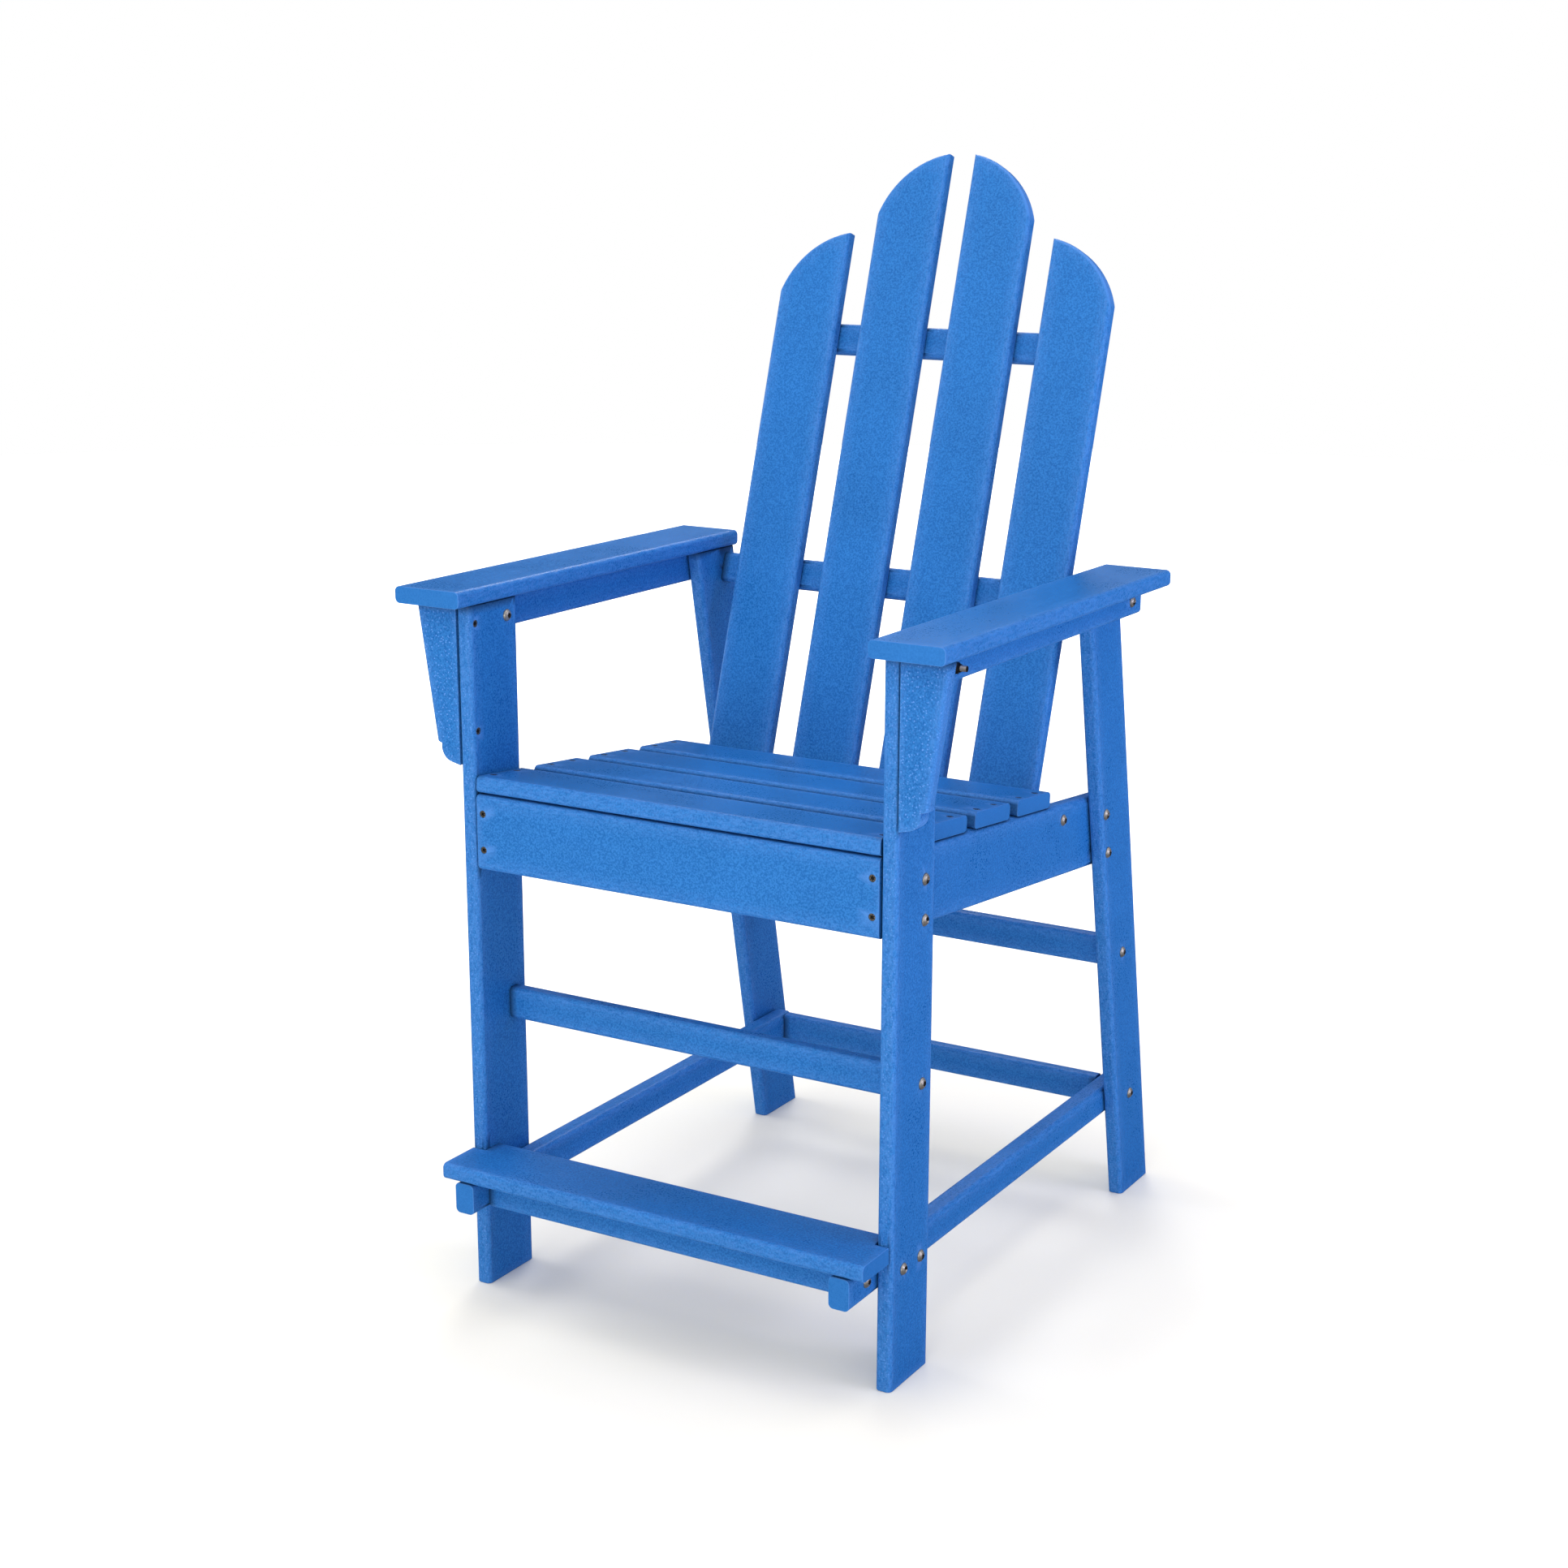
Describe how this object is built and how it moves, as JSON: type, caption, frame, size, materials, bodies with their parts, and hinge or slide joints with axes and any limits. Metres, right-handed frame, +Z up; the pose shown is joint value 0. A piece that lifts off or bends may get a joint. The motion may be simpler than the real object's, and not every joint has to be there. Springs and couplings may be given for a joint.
{
  "type": "counter chair",
  "caption": "Counter-height armchair of moulded plastic lumber: sloped slatted seat, leaning slatted back with round-cornered tops, wide flat arms and a footrest between splayed legs.",
  "frame": {"origin": "on the floor under the middle of the chair's outline", "axes": "+Z up; the chair faces -Y (a sitter looks along -Y); +X is on the right of somebody who looks at the front of the chair, and nodes named right lie at +X"},
  "size_m": [0.688, 0.772, 1.3039],
  "materials": {
    "blue_lumber": "solid-coloured moulded plastic lumber, fine pebbled satin surface with streaks along the edges",
    "stainless": "plain stainless fasteners, dull"
  },
  "bodies": {
    "root": {"front_leg_left": "blue_lumber", "front_leg_right": "blue_lumber", "rear_leg_left": "blue_lumber", "rear_leg_right": "blue_lumber", "arm_left": "blue_lumber", "arm_right": "blue_lumber", "arm_rail_left": "blue_lumber", "arm_rail_right": "blue_lumber", "arm_bracket_left": "blue_lumber", "arm_bracket_right": "blue_lumber", "front_apron": "blue_lumber", "side_rail_left": "blue_lumber", "side_rail_right": "blue_lumber", "seat_slat_1": "blue_lumber", "seat_slat_2": "blue_lumber", "seat_slat_3": "blue_lumber", "seat_slat_4": "blue_lumber", "back_slat_1": "blue_lumber", "back_slat_2": "blue_lumber", "back_slat_3": "blue_lumber", "back_slat_4": "blue_lumber", "upper_back_rail": "blue_lumber", "lower_back_rail": "blue_lumber", "back_cleat": "blue_lumber", "front_mid_stretcher": "blue_lumber", "rear_upper_stretcher": "blue_lumber", "rear_lower_stretcher": "blue_lumber", "side_stretcher_left": "blue_lumber", "side_stretcher_right": "blue_lumber", "footrest": "blue_lumber", "footrest_cross_rail": "blue_lumber", "front_leg_bolts": "stainless", "rear_leg_bolts": "stainless", "arm_rail_front_bolts": "stainless", "arm_rail_front_nuts": "stainless", "arm_rail_rear_bolts": "stainless", "back_cleat_bolts": "stainless", "cross_rail_bolts": "stainless", "bracket_screws": "stainless", "apron_screws": "stainless", "seat_screws": "stainless", "back_rail_screws": "stainless", "arm_screws": "stainless", "footrest_screws": "stainless", "lower_back_rail_screws": "stainless"}
  },
  "joints": []
}
